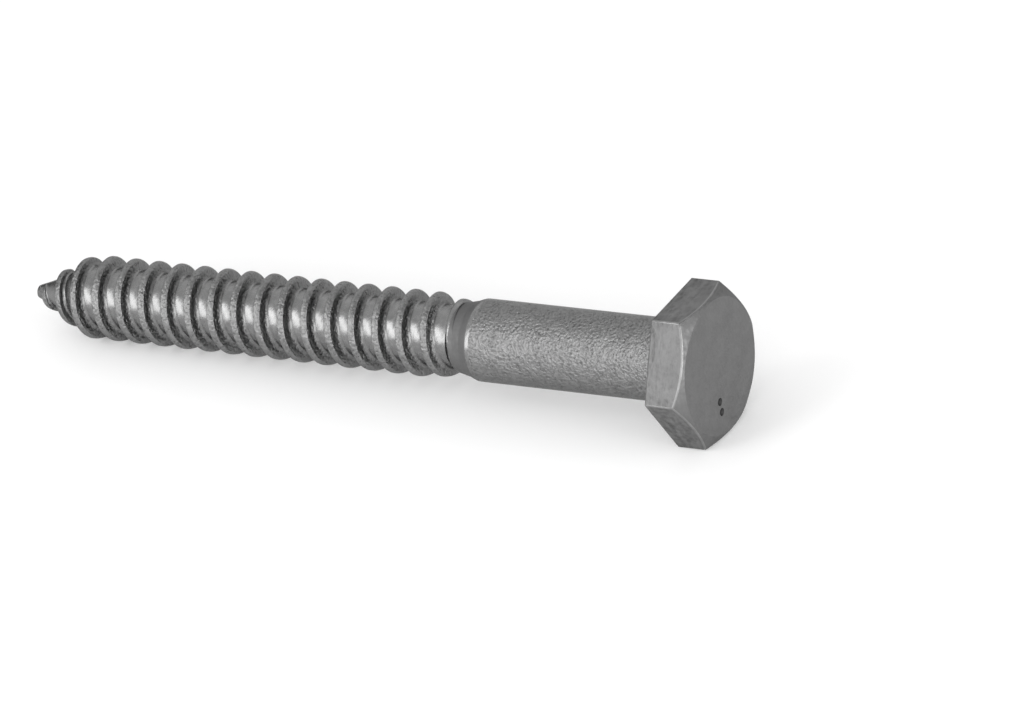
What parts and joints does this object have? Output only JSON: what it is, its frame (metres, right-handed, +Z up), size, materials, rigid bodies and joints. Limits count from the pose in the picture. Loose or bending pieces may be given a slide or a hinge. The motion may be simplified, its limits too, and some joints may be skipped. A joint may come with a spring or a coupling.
{
  "type": "lag screw",
  "caption": "Hexagon-head lag screw lying on its side: plain shank, coarse right-hand wood thread and gimlet point in one piece of steel.",
  "frame": {"origin": "middle of the bottom of the bounding box, on the ground that the screw lies on", "axes": "+X from the point to the head, +Z up; one flat of the head and the thread's crest near the point touch the ground, so the screw's own axis is tipped 2.39 degrees from +X, head end up"},
  "size_m": [0.0954, 0.0196, 0.0172],
  "materials": {
    "steel": "plain mid-grey steel: tumbled, finely speckled shank, glossier rolled thread and lightly brushed head"
  },
  "bodies": {
    "root": {"lag_screw": "steel"}
  },
  "joints": []
}
